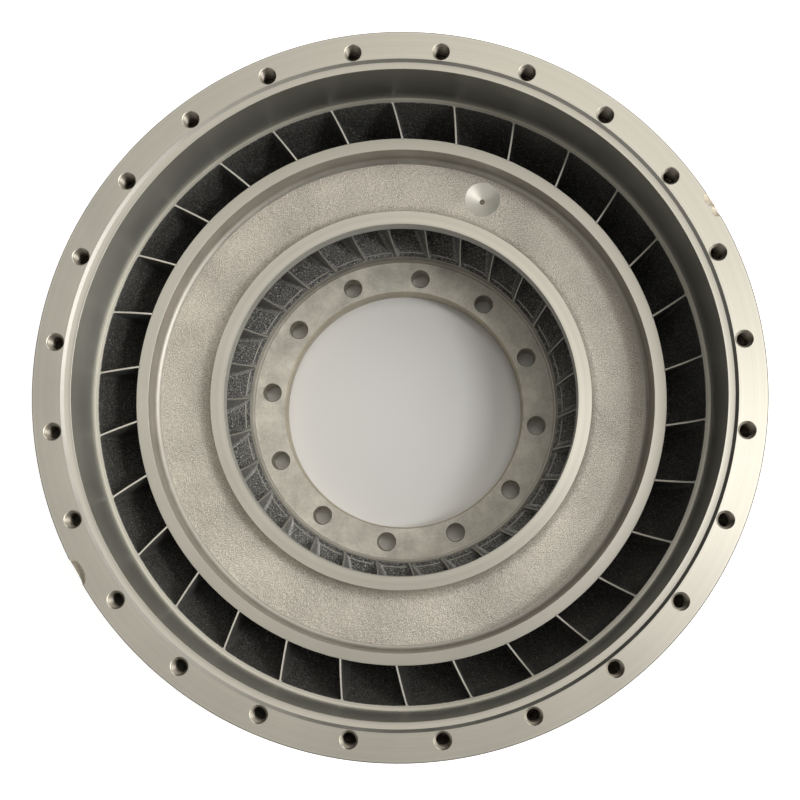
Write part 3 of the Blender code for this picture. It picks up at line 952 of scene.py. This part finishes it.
def make_blades():
    """Thirty like blades with casting fillets, a rounded leading edge and a turned trailing edge."""
    for index in range(BLADE_COUNT):
        bm = blade_mesh()
        turn = Matrix.Rotation(math.radians(360 / BLADE_COUNT * index), 3, "Z")
        bmesh.ops.rotate(bm, verts=bm.verts, matrix=turn)
        finishes = [shade_darkened_blade_metal, blade_end_metal, edge_highlight_metal]
        piece = mesh_piece(f"wheel_blade_{index + 1:02d}", bm, finishes, BLADE_SHARP_DEG)
        finish_piece(piece, "cast_blade", f"blade_{index + 1:02d}")


# Stage


def make_floor():
    bm = bmesh.new()
    bmesh.ops.create_grid(bm, x_segments=1, y_segments=1, size=FLOOR_SIZE / 2)
    mesh_piece("pale_floor", bm, [floor_material()])


def make_window():
    """The window: a soft square light aimed at the wheel."""
    data = bpy.data.lights.new("window", "AREA")
    data.shape = "RECTANGLE"
    data.size = WINDOW_SIZE
    data.size_y = WINDOW_SIZE
    data.energy = WINDOW_POWER
    data.color = WINDOW_COLOR
    light = bpy.data.objects.new("window", data)
    elevation = math.radians(WINDOW_ELEVATION_DEG)
    flat = WINDOW_DISTANCE * math.cos(elevation)
    light.location = polar(flat, WINDOW_AZIMUTH_DEG, TOP + WINDOW_DISTANCE * math.sin(elevation))
    aim = Vector((0.0, 0.0, TOP / 2)) - light.location
    light.rotation_euler = aim.to_track_quat("-Z", "Y").to_euler()
    bpy.context.scene.collection.objects.link(light)


def make_world():
    """Dim room with a few wide soft glows, as of windows, walls and ceiling."""
    world = bpy.data.worlds.new("studio")
    world.use_nodes = True
    tree = world.node_tree
    direction = add(tree, "ShaderNodeTexCoord").outputs["Generated"]
    total = ROOM_DIM
    for azimuth_deg, elevation_deg, reach_deg, strength in ROOM_GLOWS:
        elevation = math.radians(elevation_deg)
        center = polar(math.cos(elevation), azimuth_deg, math.sin(elevation))
        towards = add(tree, "ShaderNodeVectorMath", {0: direction, 1: center}, operation="DOT_PRODUCT")
        limits = {"From Min": math.cos(math.radians(reach_deg)), "From Max": 1.0, "To Max": strength}
        glow = add(tree, "ShaderNodeMapRange", limits, interpolation_type="SMOOTHSTEP")
        tree.links.new(towards.outputs["Value"], glow.inputs["Value"])
        total = math_node(tree, "ADD", glow.outputs["Result"], total)
    scaled = add(tree, "ShaderNodeVectorMath", {0: ROOM_COLOR, "Scale": total}, operation="SCALE")
    tree.links.new(scaled.outputs["Vector"], tree.nodes["Background"].inputs["Color"])
    tree.nodes["Background"].inputs["Strength"].default_value = 1.0
    bpy.context.scene.world = world


def make_camera():
    data = bpy.data.cameras.new("photo_camera")
    data.sensor_width = SENSOR_MM
    data.lens = CAMERA_FOCAL_PIXELS / PHOTO_PIXELS * SENSOR_MM
    data.clip_start = CAMERA_CLIP
    camera = bpy.data.objects.new("photo_camera", data)
    tilt, roll = (math.radians(angle) for angle in CAMERA_TURN_DEG)
    turn = Matrix.Rotation(roll, 3, "Y") @ Matrix.Rotation(tilt, 3, "X")
    camera.location = Vector((0.0, 0.0, TOP)) + turn @ Vector(CAMERA_OFFSET)
    camera.rotation_euler = turn.to_euler()
    bpy.context.scene.collection.objects.link(camera)
    bpy.context.scene.camera = camera


def main():
    make_camera()
    make_flange()
    make_threads()
    make_bowl()
    make_hub()
    make_core()
    make_blades()
    make_floor()
    make_window()
    make_world()
    bpy.context.scene.view_settings.view_transform = "Standard"


main()
